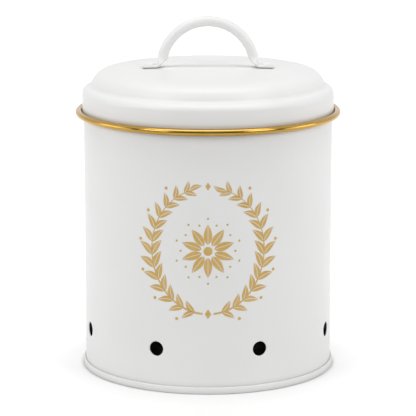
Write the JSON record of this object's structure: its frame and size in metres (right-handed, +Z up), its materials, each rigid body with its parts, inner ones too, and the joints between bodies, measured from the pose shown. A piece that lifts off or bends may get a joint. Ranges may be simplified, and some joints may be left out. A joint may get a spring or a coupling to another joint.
{
  "type": "garlic keeper",
  "caption": "Round sheet metal garlic keeper with vent holes round its foot and a lift-off domed lid with an arched handle and a gold rim.",
  "frame": {"origin": "centre of the face the keeper stands on, on the canister's axis", "axes": "+Z up along the canister's axis, -Y towards the front, +X to the right, along the handle"},
  "size_m": [0.128, 0.128, 0.1706],
  "materials": {
    "white_coat": "satin powder coat",
    "gold_finish": "satin gold"
  },
  "bodies": {
    "canister": {"body_wall": "white_coat", "base_pan": "white_coat"},
    "lid": {"lid_cover": "white_coat", "gold_rim": "gold_finish", "handle": "white_coat", "rivet_left": "white_coat", "rivet_right": "white_coat", "washer_left": "white_coat", "washer_right": "white_coat"}
  },
  "joints": [
    {"name": "lid_lift", "type": "slide", "parent": "canister", "child": "lid", "axis": [0, 0, 1], "range_m": [0, 0.08]}
  ]
}
